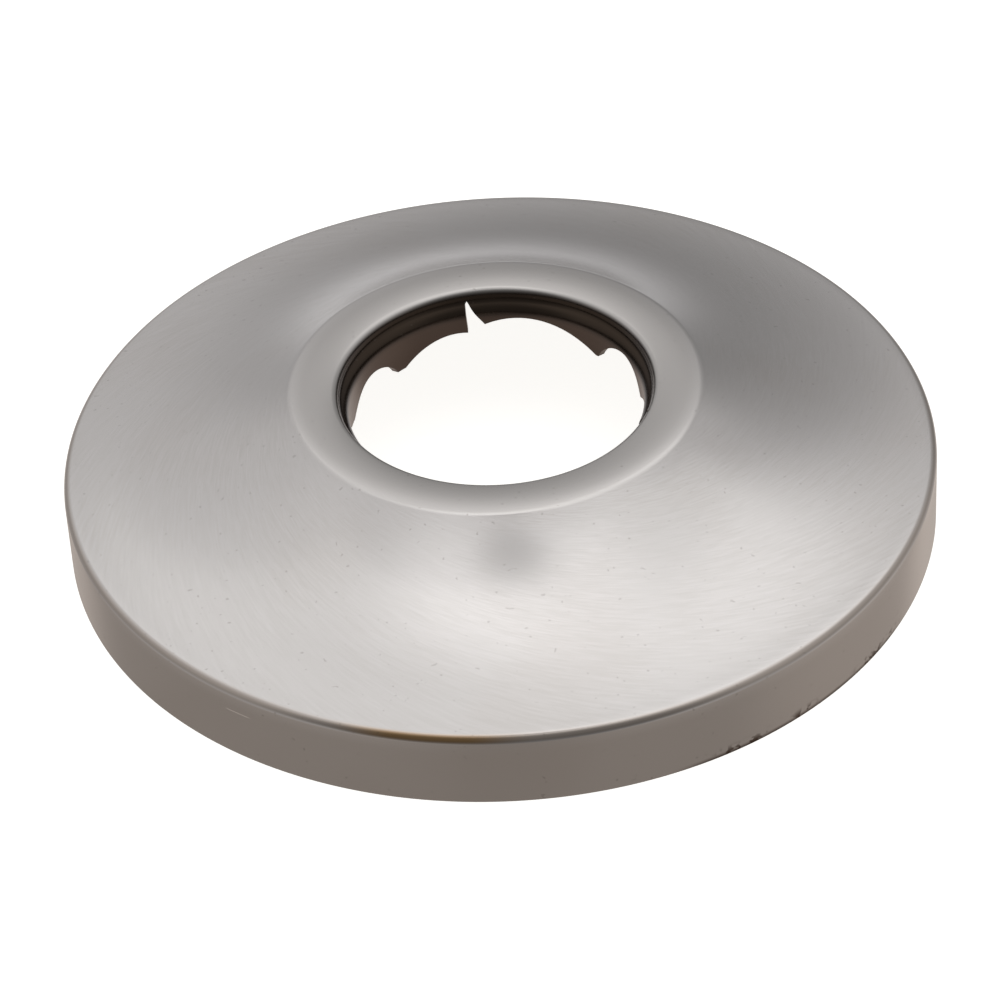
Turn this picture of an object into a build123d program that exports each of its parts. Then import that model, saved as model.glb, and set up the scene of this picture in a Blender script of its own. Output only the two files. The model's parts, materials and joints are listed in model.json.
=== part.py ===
from build123d import *
from math import acos, asin, atan2, cos, degrees, radians, sin
import os

# A shallow spring-grip pipe escutcheon, drawn from one round of sheet steel.
# It slides along a pipe to cover the hole in the wall, and its fingers hold it there.
# Millimetres. +Z points out of the wall, and the origin is the middle of the rim's wall side.

# The sheet and the flange. A bend radius is the one on the inside of the bend.
sheet_thickness = 0.5
rim_diameter = 63.5
rim_height = 5.8
rim_bend_radius = 0.1
flange_height = 11.7
bell_rim_slope = 5.0
shoulder_bend_radius = 0.5
crown_bend_radius = 9.5
crown_outer_slope = 8.0
crown_inner_slope = 8.0
lip_bend_radius = 0.1

# The pipe that it fits, and the room that the lip leaves around it
pipe_diameter = 21.34
pipe_clearance = 0.68

# The spring fingers, with depths below the top of the flange. Round-topped gaps part the collar into wings,
# and a slit with one upright side splits each wing into a broad and a narrow finger.
# A finger bears on the pipe for its grip length, and its tip flares a little away from the pipe.
wing_count = 3
first_wing_angle = 90.0
finger_bend_radius = 0.6
grip_length = 1.0
tip_flare_radius = 12.0
tip_depth = 4.35
broad_finger_radius = 8.6
narrow_finger_radius = 5.0
gap_width = 6.8
gap_depth = 2.5
slit_offset = 2.3
slit_depth = 0.8
slit_foot_depth = 3.2
slit_width = 1.65
slit_root_radius = 0.15

# The pattern was pierced a little off centre before the collar was drawn,
# so that the fingers come out longer on the -X side.
pierce_tilt = 3.5

# Radii of the rim, of the pipe, of the rounds on the visible side and of the circle that the lip rolls around
rim_radius = rim_diameter / 2
rim_edge_radius = rim_bend_radius + sheet_thickness
pipe_radius = pipe_diameter / 2
shoulder_radius = shoulder_bend_radius + sheet_thickness
crown_radius = crown_bend_radius + sheet_thickness
lip_radius = lip_bend_radius + sheet_thickness
hub_radius = pipe_radius + pipe_clearance + lip_radius

# The crown is the domed ring around the hole, and it runs smoothly into the lip and into the shoulder.
# Centres of these three rounds, from the axis and from the wall
inner_tilt = radians(crown_inner_slope)
outer_tilt = radians(crown_outer_slope)
crown_out = hub_radius + (crown_radius - lip_radius) * sin(inner_tilt)
crown_up = flange_height - crown_radius
lip_up = crown_up + (crown_radius - lip_radius) * cos(inner_tilt)
shoulder_out = crown_out + (crown_radius - shoulder_radius) * sin(outer_tilt)
shoulder_up = crown_up + (crown_radius - shoulder_radius) * cos(outer_tilt)

# The bell is the one arc that leaves the rim's edge at its slope and runs smoothly into the shoulder.
# Its radius comes from the centres of those two rounds.
slope = radians(bell_rim_slope)
centres_out = rim_radius - rim_edge_radius - shoulder_out
centres_up = (rim_height - rim_edge_radius) - shoulder_up
radii_apart = shoulder_radius - rim_edge_radius
centres_square = centres_out**2 + centres_up**2 - radii_apart**2
centres_along = centres_out * sin(slope) + centres_up * cos(slope)
bell_reach = centres_square / (2 * (radii_apart - centres_along))
bell_radius = bell_reach - rim_edge_radius
bell_hub_slope = degrees(
    atan2(centres_out + bell_reach * sin(slope), centres_up + bell_reach * cos(slope))
)

# Each finger jogs in from the lip to the pipe by two equal and opposite bends.
outer_bend_radius = finger_bend_radius + sheet_thickness
jog_radii = finger_bend_radius + outer_bend_radius
finger_lean = degrees(acos(1 - pipe_clearance / jog_radii))

# Half the width of a wing at the pipe, between two gaps. Its cut reaches halfway into each gap.
gap_radius = gap_width / 2
half_step = radians(180 / wing_count)
wing_half_angle = half_step - asin(gap_radius / pipe_radius)
wing_half_width = pipe_radius * sin(wing_half_angle)
edge_half_width = wing_half_width + gap_radius / 2

# Planes at the flange's top, facing out through each wing and through each gap.
# A cut goes from inside the collar to just past it, and the collar is drawn a little longer than its tips.
pierce = Location((0, 0, flange_height), (0, -pierce_tilt, 0))
wing_step = 360 / wing_count
wing_angles = [first_wing_angle + wing_step * wing for wing in range(wing_count)]
gap_angles = [angle + wing_step / 2 for angle in wing_angles]
cut_start = pipe_radius * cos(half_step)
cut_reach = hub_radius - cut_start
wing_planes = [Plane(pierce * Rot(Z=angle) * Plane.YZ.location).offset(cut_start) for angle in wing_angles]
gap_planes = [Plane(pierce * Rot(Z=angle) * Plane.YZ.location).offset(cut_start) for angle in gap_angles]
cut_margin = pipe_radius * sin(radians(pierce_tilt)) + sheet_thickness
collar_depth = tip_depth + cut_margin
cut_depth = collar_depth + cut_margin

# The tips flare from the end of the grip to the end of the collar.
grip_depth = flange_height - lip_up + jog_radii * sin(radians(finger_lean)) + grip_length
tip_flare = degrees(asin((collar_depth - grip_depth) / tip_flare_radius))

with BuildPart() as escutcheon:
    # The visible side of the sheet, from the rim's foot over the bell and down to the fingertips
    with BuildSketch(Plane.XZ):
        with BuildLine():
            wall = Line((rim_radius, 0), (rim_radius, rim_height - rim_edge_radius))
            edge = JernArc(wall @ 1, wall % 1, rim_edge_radius, 90 - bell_rim_slope)
            bell = JernArc(edge @ 1, edge % 1, bell_radius, bell_rim_slope - bell_hub_slope)
            shoulder = JernArc(bell @ 1, bell % 1, shoulder_radius, bell_hub_slope - crown_outer_slope)
            crown = JernArc(shoulder @ 1, shoulder % 1, crown_radius, crown_outer_slope + crown_inner_slope)
            lip = JernArc(crown @ 1, crown % 1, lip_radius, 90 - crown_inner_slope)
            lean = JernArc(lip @ 1, lip % 1, finger_bend_radius, -finger_lean)
            turn = JernArc(lean @ 1, lean % 1, outer_bend_radius, finger_lean)
            grip = PolarLine(turn @ 1, grip_length, direction=turn % 1)
            JernArc(grip @ 1, grip % 1, tip_flare_radius, tip_flare)
            offset(amount=sheet_thickness, side=Side.LEFT)
        make_face()
    revolve(axis=Axis.Z)

    # Round-topped gaps part the collar into wings.
    with BuildSketch(*gap_planes):
        with Locations((0, -gap_depth - gap_radius)):
            Circle(gap_radius)
            Rectangle(gap_width, cut_depth, align=(Align.CENTER, Align.MAX))
    extrude(amount=cut_reach, mode=Mode.SUBTRACT)

    # The lower edge of each wing is two arcs, one for each finger, that meet at the slit's foot.
    # The slit runs up from there into the lip, and its root is round.
    with BuildSketch(*wing_planes) as finger_edges:
        with BuildLine():
            broad = RadiusArc(
                (-wing_half_width, -tip_depth), (slit_offset, -slit_foot_depth), broad_finger_radius
            )
            narrow = RadiusArc(broad @ 1, (wing_half_width, -tip_depth), narrow_finger_radius)
            Polyline(
                narrow @ 1,
                (edge_half_width, -tip_depth),
                (edge_half_width, -cut_depth),
                (-edge_half_width, -cut_depth),
                (-edge_half_width, -tip_depth),
                broad @ 0,
            )
        make_face()
        with BuildLine():
            Polyline(
                (slit_offset, -slit_depth),
                (slit_offset - slit_width, -slit_foot_depth),
                (slit_offset, -slit_foot_depth),
                close=True,
            )
        make_face()
        fillet(finger_edges.vertices().group_by(Axis.Y)[-1], slit_root_radius)
    extrude(amount=cut_reach, mode=Mode.SUBTRACT)

escutcheon.part.label = "escutcheon"

os.makedirs("parts", exist_ok=True)
export_step(escutcheon.part, "parts/escutcheon.step")
print(f"bell radius {bell_radius:.2f}, slope at the hub {bell_hub_slope:.1f} degrees")
print(f"finger lean {finger_lean:.1f} degrees, grip from {grip_depth - grip_length:.2f} to {grip_depth:.2f} deep")
print(f"tip flare {tip_flare:.1f} degrees, wing half width {wing_half_width:.2f}")
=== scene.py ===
# %% [markdown]
# # A pipe escutcheon in brushed nickel
# An escutcheon is the trim ring that hides the rough hole where a pipe comes out of a wall. This one is a
# single round of thin sheet steel, drawn into a shallow bell, with spring fingers in the middle that hold
# on to the pipe. It could be sculpted, but the shape is all bends around one axis, so one section line
# spun around Z gives nearly everything, and the fingers are then cut with the same punches that the maker
# would use.

# %% Load the frame
import bmesh
import bpy
import json
from math import acos, asin, atan2, cos, degrees, e, pi, radians, sin, tan
from mathutils import Matrix, Vector

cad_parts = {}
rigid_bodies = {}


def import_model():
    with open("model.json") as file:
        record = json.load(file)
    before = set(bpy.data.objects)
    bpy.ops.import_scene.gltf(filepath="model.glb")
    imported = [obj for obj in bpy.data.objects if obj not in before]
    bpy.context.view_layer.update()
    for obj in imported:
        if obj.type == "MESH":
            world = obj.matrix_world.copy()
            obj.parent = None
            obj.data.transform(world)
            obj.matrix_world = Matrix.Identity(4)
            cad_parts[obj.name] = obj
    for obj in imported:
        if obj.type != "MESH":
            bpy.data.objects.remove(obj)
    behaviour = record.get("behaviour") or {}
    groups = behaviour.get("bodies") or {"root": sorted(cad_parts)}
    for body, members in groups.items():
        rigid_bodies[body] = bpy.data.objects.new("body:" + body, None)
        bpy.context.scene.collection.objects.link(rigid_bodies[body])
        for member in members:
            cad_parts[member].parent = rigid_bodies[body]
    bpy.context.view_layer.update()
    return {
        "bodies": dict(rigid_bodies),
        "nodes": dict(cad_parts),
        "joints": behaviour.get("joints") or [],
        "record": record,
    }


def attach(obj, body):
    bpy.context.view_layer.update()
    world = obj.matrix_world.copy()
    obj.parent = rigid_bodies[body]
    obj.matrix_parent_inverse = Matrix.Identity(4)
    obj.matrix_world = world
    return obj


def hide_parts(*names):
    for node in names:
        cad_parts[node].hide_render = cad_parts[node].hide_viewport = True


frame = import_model()
mm = 0.001
scene = bpy.context.scene
print("loaded", len(frame), "entries of the frame")

# %% [markdown]
# ## The sizes
# The real thing is a 2-1/2 inch flange for a half inch iron pipe. All lengths are in millimetres, and they
# are the ones of the solid, so that the visual piece can take its place exactly. Radii of bends are those
# on the visible side. The bell is one arc, and its radius follows from the rim's edge and the shoulder
# that it joins.

# %% Sizes of the sheet
sheet = 0.5
rim_radius = 63.5 / 2
rim_height = 5.8
edge_radius = 0.6
rim_slope = radians(5)
flange_height = 11.7
shoulder_radius = 1.0
crown_radius = 10.0
crown_outer = radians(8)
crown_inner = radians(8)
lip_radius = 0.6
pipe_radius = 21.34 / 2
clearance = 0.68

lip_bore = pipe_radius + clearance
lip_out = lip_bore + lip_radius
crown_out = lip_out + (crown_radius - lip_radius) * sin(crown_inner)
crown_up = flange_height - crown_radius
lip_up = crown_up + (crown_radius - lip_radius) * cos(crown_inner)
shoulder_out = crown_out + (crown_radius - shoulder_radius) * sin(crown_outer)
shoulder_up = crown_up + (crown_radius - shoulder_radius) * cos(crown_outer)
across = rim_radius - edge_radius - shoulder_out
rise = rim_height - edge_radius - shoulder_up
apart = shoulder_radius - edge_radius
along_slope = across * sin(rim_slope) + rise * cos(rim_slope)
reach = (across**2 + rise**2 - apart**2) / (2 * (apart - along_slope))
bell_radius = reach - edge_radius
hub_slope = atan2(across + reach * sin(rim_slope), rise + reach * cos(rim_slope))
print(f"bell radius {bell_radius:.2f} mm, slope at the hub {degrees(hub_slope):.1f} degrees")

# %% [markdown]
# Below the lip the sheet jogs in to the pipe by two opposite bends, bears on it for a short length, and
# then flares away a little, so that the pipe doesn't catch on the fingertips.

# %% Sizes of the collar
inner_bend = 0.6
outer_bend = 1.1
grip_length = 1.0
flare_radius = 12.0
tip_depth = 4.35
pierce_tilt = radians(3.5)

finger_lean = acos(1 - clearance / (inner_bend + outer_bend))
collar_depth = tip_depth + pipe_radius * sin(pierce_tilt) + sheet
grip_depth = flange_height - lip_up + (inner_bend + outer_bend) * sin(finger_lean) + grip_length
flare = asin((collar_depth - grip_depth) / flare_radius)
print(f"fingers lean {degrees(finger_lean):.1f} degrees and flare {degrees(flare):.1f} degrees")

# %% [markdown]
# ## The section line
# A press bends sheet in plain arcs, so the section is drawn as a press tool works: from the rim's foot
# straight up, then bend after bend, each one tangent to the last. A vertex that is spun around the centre
# of a bend leaves a chain of edges behind it. Only the visible side is drawn here, and the thickness comes
# later.

# %% Straight runs and bends
section = bmesh.new()
end = section.verts.new((rim_radius * mm, 0, 0))
heading = pi / 2


def straight(end, heading, length, steps):
    """Runs the section straight on from its end, and gives back the new end."""
    step = Vector((cos(heading), 0, sin(heading))) * length * mm / steps
    for _ in range(steps):
        end = bmesh.ops.extrude_vert_indiv(section, verts=[end])["verts"][0]
        end.co += step
    return end


def bend(end, heading, radius, angle, steps):
    """Bends the section left, or right by a negative angle, and gives back its end and heading."""
    side = 1 if angle > 0 else -1
    centre = end.co + Vector((-sin(heading), 0, cos(heading))) * radius * mm * side
    swept = bmesh.ops.spin(section, geom=[end], cent=centre, axis=(0, -1, 0), angle=angle, steps=steps)
    end = [v for v in swept["geom_last"] if isinstance(v, bmesh.types.BMVert)][0]
    return end, heading + angle


# %% Draw the section
end = straight(end, heading, rim_height - edge_radius, steps=6)
for radius, angle, steps in (
    (edge_radius, pi / 2 - rim_slope, 8),
    (bell_radius, rim_slope - hub_slope, 36),
    (shoulder_radius, hub_slope - crown_outer, 8),
    (crown_radius, crown_outer + crown_inner, 10),
    (lip_radius, pi / 2 - crown_inner, 14),
    (inner_bend, -finger_lean, 6),
    (outer_bend, finger_lean, 6),
):
    end, heading = bend(end, heading, radius, angle, steps)
end = straight(end, heading, grip_length, steps=3)
end, heading = bend(end, heading, flare_radius, flare, steps=6)
print("section of", len(section.verts), "vertices")

# %% [markdown]
# ## The sheet
# The real blank is formed on a round die, so the section goes once around the pipe's axis. The full turn
# merges its own ends. The normals are put right before the sheet gets its half millimetre on the hidden
# side, because on a closed shell it would be too late.

# %% Spin and thicken
steps_around = 288
weld = 0.002

bmesh.ops.spin(
    section, geom=section.verts[:] + section.edges[:], cent=(0, 0, 0), axis=(0, 0, 1),
    angle=2 * pi, steps=steps_around, use_merge=True,
)
bmesh.ops.remove_doubles(section, verts=section.verts, dist=weld * mm)
bmesh.ops.recalc_face_normals(section, faces=section.faces)
crown_face = max(section.faces, key=lambda f: f.calc_center_median().z)
if crown_face.normal.z < 0:
    bmesh.ops.reverse_faces(section, faces=section.faces)
bmesh.ops.solidify(section, geom=section.faces[:], thickness=sheet * mm)
bmesh.ops.recalc_face_normals(section, faces=section.faces)


def finish_mesh(bm, name):
    """Moves a bmesh into a new object in the scene."""
    mesh = bpy.data.meshes.new(name)
    bm.to_mesh(mesh)
    bm.free()
    made = bpy.data.objects.new(name, mesh)
    scene.collection.objects.link(made)
    return made


bell = finish_mesh(section, "escutcheon_sheet")
print("sheet", len(bell.data.vertices), "vertices,", [round(d / mm, 2) for d in bell.dimensions], "mm")

# %% [markdown]
# ## The spring fingers
# The maker pierces the collar with punches: round-topped gaps part it into three wings, the lower edge of
# each wing is two arcs, and a narrow slit splits the wing into a broad and a narrow finger. The same
# shapes are drawn flat here, with depths below the flange's top, and are extruded into punches. All of
# them tilt a little because the real pattern sits off centre, with longer fingers on the left.

# %% Sizes of the punches
gap_width = 6.8
gap_depth = 2.5
slit_offset = 2.3
slit_depth = 0.8
slit_foot = 3.2
slit_width = 1.65
slit_root = 0.15
broad_radius = 8.6
narrow_radius = 5.0
punch_foot = 9.0
punch_from = 6.2
punch_to = lip_out
overlap = 0.05
wings = (90, 210, 330)
gaps = (30, 150, 270)

half_gap = gap_width / 2
wing_half = pipe_radius * sin(radians(60) - asin(half_gap / pipe_radius))
edge_half = wing_half + half_gap / 3
print(f"a wing is {2 * wing_half:.2f} mm wide")

# %% Punch outlines


def arc(start, stop, radius, steps=24):
    """Points from start to stop on an arc that bulges to the left of the way there."""
    start, stop = Vector(start), Vector(stop)
    chord = stop - start
    half = asin(min(1, chord.length / 2 / radius))
    left = Vector((-chord.y, chord.x)).normalized()
    centre = (start + stop) / 2 - left * radius * cos(half)
    return [centre + Matrix.Rotation(-2 * half * i / steps, 2) @ (start - centre) for i in range(steps + 1)]


gap_spring = -gap_depth - half_gap
gap_outline = arc((-half_gap, gap_spring), (half_gap, gap_spring), half_gap, 40)
gap_outline += [(half_gap, -punch_foot), (-half_gap, -punch_foot)]
broad = arc((-wing_half, -tip_depth), (slit_offset, -slit_foot), broad_radius)
narrow = arc((slit_offset, -slit_foot), (wing_half, -tip_depth), narrow_radius)
edge_outline = broad + narrow[1:] + [
    (edge_half, -tip_depth), (edge_half, -punch_foot), (-edge_half, -punch_foot), (-edge_half, -tip_depth),
]
slit_outline = [
    (slit_offset, -slit_depth - slit_root), (slit_offset, -slit_foot - overlap),
    (slit_offset - slit_width, -slit_foot - overlap), (slit_offset - slit_root, -slit_depth),
]
print("outlines of", len(gap_outline), len(edge_outline), "and", len(slit_outline), "points")

# %% Make the punches


def punch(name, outline, angles):
    """Extrudes one flat outline outward through the collar, once for each angle."""
    bm = bmesh.new()
    pierce = Matrix.Translation((0, 0, flange_height * mm)) @ Matrix.Rotation(-pierce_tilt, 4, "Y")
    for angle in angles:
        place = pierce @ Matrix.Rotation(radians(angle), 4, "Z")
        face = bm.faces.new([bm.verts.new(place @ (Vector((punch_from, x, y)) * mm)) for x, y in outline])
        made = bmesh.ops.extrude_face_region(bm, geom=[face])["geom"]
        far = [v for v in made if isinstance(v, bmesh.types.BMVert)]
        through = Vector((punch_to - punch_from, 0, 0)) * mm
        bmesh.ops.translate(bm, verts=far, vec=place.to_3x3() @ through)
    bmesh.ops.recalc_face_normals(bm, faces=bm.faces)
    return finish_mesh(bm, name)


punches = [
    punch("gap punch", gap_outline, gaps),
    punch("edge punch", edge_outline, wings),
    punch("slit punch", slit_outline, wings),
]
print("punches:", [tool.name for tool in punches])

# %% [markdown]
# A Boolean modifier takes each punch out of the sheet. The result is kept as the piece's own mesh, and the
# punches are thrown away, so nothing in the scene depends on them. A cut can leave slivers where it grazes
# a vertex, so points within a thousandth of a millimetre are merged. Only edges sharper than any of the
# bends stay sharp.

# %% Pierce the collar
sliver = 0.001
sharp_from = radians(32)

for tool in punches:
    cut = bell.modifiers.new(tool.name, "BOOLEAN")
    cut.operation = "DIFFERENCE"
    cut.solver = "EXACT"
    cut.object = tool
pierced = bpy.data.meshes.new_from_object(bell.evaluated_get(bpy.context.evaluated_depsgraph_get()))
bell.modifiers.clear()
bell.data = pierced
for tool in punches:
    bpy.data.objects.remove(tool)
bm = bmesh.new()
bm.from_mesh(pierced)
bmesh.ops.remove_doubles(bm, verts=bm.verts, dist=sliver * mm)
bmesh.ops.dissolve_degenerate(bm, edges=bm.edges, dist=sliver * mm)
bm.to_mesh(pierced)
bm.free()
pierced.polygons.foreach_set("use_smooth", [True] * len(pierced.polygons))
pierced.set_sharp_from_angle(angle=sharp_from)
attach(bell, "root")
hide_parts("escutcheon")
print("pierced sheet", len(pierced.polygons), "faces")

# %% [markdown]
# ## Satin nickel
# The flange is nickel plated and then brushed while it turns, so thousands of short, leaning strokes swirl
# around the hub. They give the metal a soft sheen that is wider across the strokes than along them. An
# image could hold them, but a noise in polar coordinates needs no unwrapping: one coordinate counts across
# the strokes, the other along them, and both close up after a full turn.

# %% Colours and a node helper


def linear(code):
    """An sRGB hex colour as linear RGBA."""
    parts = [int(code[i:i + 2], 16) / 255 for i in (1, 3, 5)]
    return [c / 12.92 if c <= 0.04045 else ((c + 0.055) / 1.055) ** 2.4 for c in parts] + [1.0]


def add(tree, kind, inputs=None, out=0, **settings):
    """Adds a node with its settings, sets or links its inputs, and gives back one of its outputs."""
    made = tree.nodes.new("ShaderNode" + kind)
    for name, value in settings.items():
        setattr(made, name, value)
    for socket, value in (inputs or {}).items():
        if isinstance(value, bpy.types.NodeSocket):
            tree.links.new(value, made.inputs[socket])
        else:
            made.inputs[socket].default_value = value
    return made.outputs[out] if made.outputs else None


soft = {"interpolation_type": "SMOOTHSTEP"}
rgba = {"out": 2, "data_type": "RGBA"}
nickel = bpy.data.materials.new("brushed satin nickel")
nickel.use_nodes = True
metal = nickel.node_tree
metal.nodes.clear()
print("new material", nickel.name)

# %% [markdown]
# The strokes lean 27 degrees from the circle around the pipe. Their pitch is given at the middle of the
# bell and grows with the radius, as on a log spiral. Real strokes are a few hundredths of a millimetre
# wide. They are drawn about five times as wide here, because finer ones would be lost between the pixels.

# %% Polar coordinates of the swirl
stroke_lean = radians(27)
stroke_width = 0.16
stroke_length = 2.4
mid_radius = 22.0

place = add(metal, "TexCoord", out="Object")
z = add(metal, "SeparateXYZ", {0: place}, out="Z")
y = z.node.outputs["Y"]
x = z.node.outputs["X"]
flat = add(metal, "VectorMath", {0: place, 1: (1, 1, 0)}, operation="MULTIPLY")
radius = add(metal, "VectorMath", {0: flat}, out="Value", operation="LENGTH")
angle = add(metal, "Math", {0: y, 1: x}, operation="ARCTAN2")
drop = add(metal, "Math", {0: rim_height * mm, 1: z}, operation="SUBTRACT")
spread = add(metal, "Math", {0: radius, 1: drop}, operation="ADD")
share = add(metal, "Math", {0: spread, 1: mid_radius * mm}, operation="DIVIDE")
growth = add(metal, "Math", {0: share, 1: e}, operation="LOGARITHM")
steep = add(metal, "Math", {0: growth, 1: tan(stroke_lean)}, operation="DIVIDE")
cross = add(metal, "Math", {0: steep, 1: angle}, operation="SUBTRACT")
along = add(metal, "Math", {0: growth, 1: tan(stroke_lean), 2: angle}, operation="MULTIPLY_ADD")
cross_count = mid_radius * sin(stroke_lean) / stroke_width
along_count = mid_radius / (stroke_length * cos(stroke_lean))
print(f"swirl: {cross_count:.1f} strokes to a radian across, {along_count:.1f} along")

# %% Strokes and streaks


def swirl(fineness, stretch, detail):
    """Noise drawn out along the strokes. A cosine and a sine close each coordinate up after a turn."""
    wound = []
    for way, count in ((cross, cross_count * fineness), (along, along_count * stretch)):
        for wave in ("COSINE", "SINE"):
            round_trip = add(metal, "Math", {0: way}, operation=wave)
            wound.append(add(metal, "Math", {0: round_trip, 1: count}, operation="MULTIPLY"))
    spot = add(metal, "CombineXYZ", {0: wound[0], 1: wound[1], 2: wound[2]})
    grain = {"Vector": spot, "W": wound[3], "Scale": 1.0, "Detail": detail, "Roughness": 0.6}
    return add(metal, "TexNoise", grain, noise_dimensions="4D")


strokes = swirl(fineness=1.0, stretch=1.0, detail=2.0)
streaks = swirl(fineness=0.25, stretch=0.6, detail=1.0)
print("two layers of strokes")

# %% [markdown]
# The brush doesn't reach everywhere. The upright wall of the rim is plainer than the bell, the domed crown
# around the hole is a little greyer and rougher, and some patches of the bell were brushed less. The inside
# of the collar gets painted shade, dark and brown, as it lies under the lip. Each of these is a soft step of
# a coordinate or of a coarse noise.

# %% Where the brush didn't reach, and the painted shade in the collar
patch_size = 9.0
collar_fade = 0.25
plain_from = rim_radius - 0.55
plain_to = rim_radius - 0.15
crown_from = shoulder_out + 1.0
crown_to = shoulder_out - 0.8

# Painted shade: the inside of the collar is darkened from the bore outward.
collar_shade_step = {"Value": radius, "From Min": (lip_bore + collar_fade) * mm, "From Max": lip_bore * mm}
collar_shade = add(metal, "MapRange", collar_shade_step, **soft)
wall_step = {"Value": radius, "From Min": plain_from * mm, "From Max": plain_to * mm}
wall = add(metal, "MapRange", wall_step, **soft)
crown_step = {"Value": radius, "From Min": crown_from * mm, "From Max": crown_to * mm}
crown = add(metal, "MapRange", crown_step, **soft)
blotch = add(metal, "TexNoise", {"Vector": place, "Scale": 1 / (patch_size * mm), "Detail": 1.0})
less = {"Value": blotch, "From Min": 0.35, "From Max": 0.65, "To Min": 0.55, "To Max": 0.0}
tone = add(metal, "Mix", {0: 0.25, 2: strokes, 3: streaks})
tone = add(metal, "Mix", {0: add(metal, "MapRange", less, **soft), 2: tone, 3: 0.5})
tone = add(metal, "Mix", {0: wall, 2: tone, 3: 0.5})
print("wall, crown, collar and patches marked off")

# %% [markdown]
# ## Wear, and painted shade at the foot
# The piece in the photo has been handled. Plating has chipped along the foot of the rim on the right, and a
# dark line of painted shade runs along the foot between the chips, where it meets the floor. The edge of the
# rim is dull all round and brown for a short stretch in front. One short, bright scratch lies on the wall at
# the front left. Pits are too small to show, so they are drawn a little larger.

# %% Where the wear and the painted foot shade are
chip_size = 0.6
chip_height = 0.9
chip_full_height = 0.1
foot_shade_height = 0.4
ridge_rise = 0.3
dull_share = 0.5
pit_size = 0.3
scratch_height = 3.9
scratch_width = 0.1
# The middle, half width and fade of each mark, in degrees around the pipe
chip_places = ((-59, 5, 3), (-49, 3, 2), (-34, 7, 4))
foot_shade_place = (-48, 22, 8)
brown_place = (-99, 14, 10)
scratch_place = (-125, 2.2, 1)


def around(middle, half, fade):
    """A soft window on the rim, from its middle, half width and fade in degrees around the pipe."""
    away = add(metal, "Math", {0: angle, 1: radians(middle)}, operation="SUBTRACT")
    off = add(metal, "Math", {0: away}, operation="ABSOLUTE")
    step = {"Value": off, "From Min": radians(half), "From Max": radians(half - fade)}
    return add(metal, "MapRange", step, **soft)


grit = add(metal, "TexNoise", {"Vector": place, "Scale": 1 / (chip_size * mm), "Detail": 2.0})
chips = add(metal, "MapRange", {"Value": grit, "From Min": 0.49, "From Max": 0.56}, **soft)
foot_step = {"Value": z, "From Min": chip_height * mm, "From Max": chip_full_height * mm}
foot = add(metal, "MapRange", foot_step, **soft)
clusters = 0.0
for spot in chip_places:
    clusters = add(metal, "Math", {0: clusters, 1: around(*spot)}, operation="MAXIMUM")
for part in (foot, clusters):
    chips = add(metal, "Math", {0: chips, 1: part}, operation="MULTIPLY")
# Painted shade: a dark line along the very foot of the rim, where it meets the floor, over the stretch with
# the chips.
foot_shade_step = {"Value": z, "From Min": foot_shade_height * mm, "From Max": 0.0, "To Max": 0.9}
foot_shade = add(metal, "MapRange", foot_shade_step, **soft)
foot_shade = add(metal, "Math", {0: foot_shade, 1: around(*foot_shade_place)}, operation="MULTIPLY")
chips_and_foot_shade = add(metal, "Math", {0: chips, 1: foot_shade}, operation="MAXIMUM")
chips_and_foot_shade = add(metal, "Math", {0: chips_and_foot_shade, 1: wall}, operation="MULTIPLY")
edge_from = rim_height - edge_radius
ridge_step = {"Value": z, "From Min": edge_from * mm, "From Max": (edge_from + ridge_rise) * mm}
ridge = add(metal, "MapRange", ridge_step, **soft)
ridge = add(metal, "Math", {0: ridge, 1: wall}, operation="MULTIPLY")
dull = add(metal, "Math", {0: ridge, 1: dull_share}, operation="MULTIPLY")
brown = add(metal, "Math", {0: ridge, 1: around(*brown_place)}, operation="MULTIPLY")
groove = {0: z, 1: scratch_height * mm, 2: scratch_width / 2 * mm}
scratch = add(metal, "Math", groove, operation="COMPARE")
for part in (wall, around(*scratch_place)):
    scratch = add(metal, "Math", {0: scratch, 1: part}, operation="MULTIPLY")
pit = add(metal, "TexNoise", {"Vector": place, "Scale": 1 / (pit_size * mm), "Detail": 0.0})
pits = add(metal, "MapRange", {"Value": pit, "From Min": 0.79, "From Max": 0.84, "To Max": 0.2}, **soft)
print("wear marked off")

# %% [markdown]
# The colour starts from the light nickel and takes on each mark in turn. Metal has no colour of its own
# under the shine, so Metallic is 1 and the colour tints the reflections. The strokes also vary the
# roughness a little, and a faint bump breaks up the edges of the reflections.

# %% The nickel itself
lip_shadow_from = 9.4
lip_shadow_to = 10.2
crown_roughness = 0.27
bump_depth = 0.02

# Painted shade: the collar darkens from its tips up to the lip, in the lip's shadow.
lip_shadow_step = {"Value": z, "From Min": lip_shadow_from * mm, "From Max": lip_shadow_to * mm}
lip_shadow = add(metal, "MapRange", lip_shadow_step, **soft)
collar = add(metal, "Mix", {0: lip_shadow, 6: linear("#6c5f57"), 7: linear("#40372f")}, **rgba)
light = add(metal, "MapRange", {"Value": tone, "From Min": 0.3, "From Max": 0.7}, **soft)
colour = add(metal, "Mix", {0: light, 6: linear("#c8c5c1"), 7: linear("#cecbc8")}, **rgba)
faded = add(metal, "MapRange", {"Value": blotch, "From Min": 0.45, "From Max": 0.75, "To Max": 0.18}, **soft)
for amount, mark_colour in (
    (faded, linear("#c0bab4")),
    (crown, linear("#b8b5b1")),
    # Painted shade inside the collar, darkest under the lip
    (collar_shade, collar),
    (dull, linear("#947f69")),
    (brown, linear("#a0825c")),
    (pits, linear("#6a625b")),
    # Real chips at the foot of the rim, and the painted shade line along it
    (chips_and_foot_shade, linear("#54453a")),
    (scratch, linear("#efece8")),
):
    colour = add(metal, "Mix", {0: amount, 6: colour, 7: mark_colour}, **rgba)
sheen = {"Value": tone, "From Min": 0.3, "From Max": 0.7, "To Min": 0.235, "To Max": 0.195}
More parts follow.
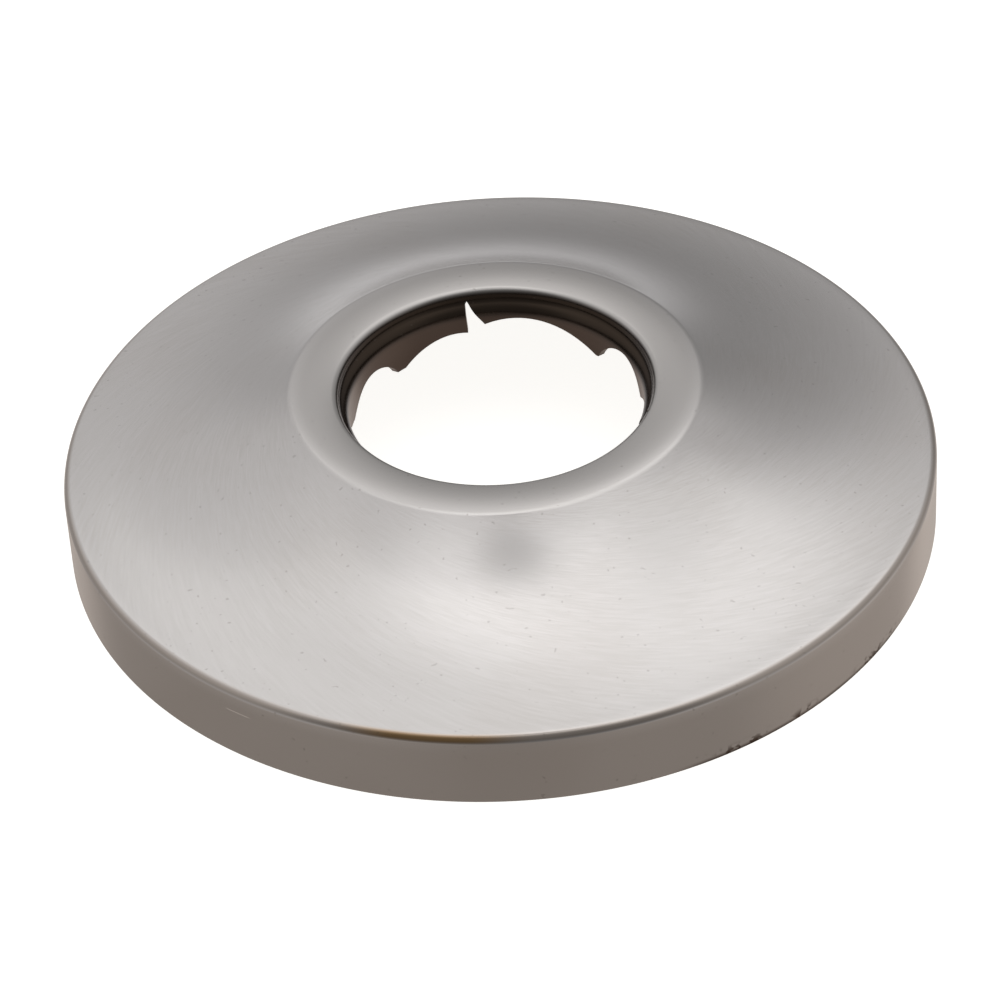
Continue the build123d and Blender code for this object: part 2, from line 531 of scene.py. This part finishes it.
rough = add(metal, "MapRange", sheen, **soft)
rough = add(metal, "Mix", {0: crown, 2: rough, 3: crown_roughness})
bump = add(metal, "Bump", {"Strength": 0.04, "Distance": bump_depth * mm, "Height": strokes})
tangent = add(metal, "Tangent", direction_type="RADIAL", axis="Z")
finish = {
    "Base Color": colour, "Metallic": 1.0, "Roughness": rough, "Anisotropic": 0.4,
    "Anisotropic Rotation": degrees(stroke_lean) / 360, "Normal": bump, "Tangent": tangent,
}
add(metal, "OutputMaterial", {"Surface": add(metal, "BsdfPrincipled", finish)})
bell.data.materials.clear()
bell.data.materials.append(nickel)
print("material", nickel.name, "with", len(metal.nodes), "nodes")

# %% [markdown]
# ## The studio
# Metal shows what is around it, so the room matters more than the lamps. The pale floor stays out of the
# reflections, because it would light the upright wall from below more than a studio table does, and it
# glows a little, so that it stays pale inside the hole too.

# %% Floor
bm = bmesh.new()
bmesh.ops.create_grid(bm, x_segments=1, y_segments=1, size=3.0)
floor = finish_mesh(bm, "floor")
paint = bpy.data.materials.new("pale matt floor paint")
paint.use_nodes = True
paint.node_tree.nodes.clear()
matt = {
    "Base Color": linear("#bcbbb9"), "Roughness": 0.9,
    "Emission Color": linear("#fffefb"), "Emission Strength": 0.9,
}
coat = add(paint.node_tree, "BsdfPrincipled", matt)
add(paint.node_tree, "OutputMaterial", {"Surface": coat})
floor.data.materials.append(paint)
floor.visible_glossy = False
print("floor", [round(d, 1) for d in floor.dimensions], "m")

# %% [markdown]
# The room could be a picture of a studio. Here it is a few soft lobes of light instead: each one says how
# much the room brightens or darkens toward a direction, and over which stretch of the cosine it does so.
# The room is brightest overhead and has a bright patch at the back right. It is darkest low behind the
# flange, below it and behind the camera.

# %% Room
world = bpy.data.worlds.new("room")
world.use_nodes = True
room = world.node_tree
room.nodes.clear()
way = add(room, "TexCoord", out="Generated")
overhead = Vector((0, 0, 1))
below = -overhead
level = 0.5
for toward, far, near, gain in (
    # Brighter and brighter toward the ceiling
    (overhead, 0.1, 0.45, 1.28),
    (overhead, 0.5, 0.95, 1.34),
    (overhead, 0.88, 0.99, 1.36),
    # A bright patch high at the back right, a weaker one at the back left and a dimmer stretch above that
    (Vector((0.32, 0.56, 0.77)), 0.93, 0.995, 1.3),
    (Vector((-0.6, 0.5, 0.6)), 0.85, 0.97, 1.14),
    (Vector((-0.3, 0.33, 0.9)), 0.95, 0.99, 0.88),
    # Dim low down at the back
    (Vector((0.34, 0.93, 0.13)), 0.80, 0.97, 0.65),
    # Dark below, but lighter there toward the back and the right
    (Vector((0, 0.8, -0.6)), 0.74, 0.93, 1.6),
    (below, 0.42, 0.72, 0.6),
    (Vector((0.8, 0.3, -0.6)), 0.75, 0.98, 1.3),
    # Dark behind the camera
    (Vector((0, -0.95, 0.3)), 0.45, 0.85, 0.4),
    # A lighter spot overhead, and a small dark one that shows as the grey smudge in front of the hub
    (Vector((-0.1, 0.04, 1)), 0.965, 0.997, 1.08),
    (Vector((0.03, -0.12, 1)), 0.988, 0.998, 0.5),
):
    close = add(room, "VectorMath", {0: way, 1: toward.normalized()}, out="Value", operation="DOT_PRODUCT")
    lobe = {"Value": close, "From Min": far, "From Max": near, "To Min": 1.0, "To Max": gain}
    level = add(room, "Math", {0: level, 1: add(room, "MapRange", lobe, **soft)}, operation="MULTIPLY")
down = add(room, "VectorMath", {0: way, 1: below}, out="Value", operation="DOT_PRODUCT")
warmth = add(room, "MapRange", {"Value": down, "From Min": 0.25, "From Max": 0.7}, **soft)
tint = add(room, "Mix", {0: warmth, 6: linear("#fefdff"), 7: linear("#fff1e7")}, **rgba)
air = add(room, "Background", {"Color": tint, "Strength": level})
add(room, "OutputWorld", {"Surface": air})
scene.world = world
scene.view_settings.view_transform = "Standard"
print("room with", len(room.nodes), "nodes")

# %% [markdown]
# One large soft box hangs above the flange and a little behind it, as over a product table. It is weak,
# because the room already lights the metal. It mirrors on the front of the bell, where the sheet slopes
# toward the camera.

# %% Soft box
lamp = bpy.data.lights.new("top box", "AREA")
lamp.shape = "RECTANGLE"
lamp.size = 1.3
lamp.size_y = 0.8
lamp.energy = 0.8
box = bpy.data.objects.new("top box", lamp)
box_place = Vector((0.1, 0.32, 0.88))
box.matrix_world = Matrix.Translation(box_place) @ box_place.to_track_quat("Z", "Y").to_matrix().to_4x4()
scene.collection.objects.link(box)
print("soft box", round(box_place.length, 2), "m away")

# %% [markdown]
# ## The camera
# The photo was taken from a little above with a long lens, and the camera leaned slightly. The camera's
# own axes are built from these angles, and a small shift of the lens puts the flange where it is in the
# picture.

# %% Camera
lift = radians(39.019)
roll = radians(-3.449)
swing = radians(1.8)
distance = 0.330
back = Vector((0, -cos(lift), sin(lift)))
right = Vector((1, 0, 0))
up = back.cross(right)
axes = (right * cos(roll) + up * sin(roll), up * cos(roll) - right * sin(roll), back)
pose = Matrix(axes).transposed().to_4x4()
pose.translation = back * distance
lens = bpy.data.cameras.new("camera")
lens.sensor_width = 36
lens.lens = 161.43
lens.shift_x = -0.0027
lens.shift_y = 0.00782
camera = bpy.data.objects.new("camera", lens)
camera.matrix_world = Matrix.Rotation(swing, 4, "Z") @ pose
scene.collection.objects.link(camera)
scene.camera = camera
print("camera", [round(c, 3) for c in camera.matrix_world.translation], "m")
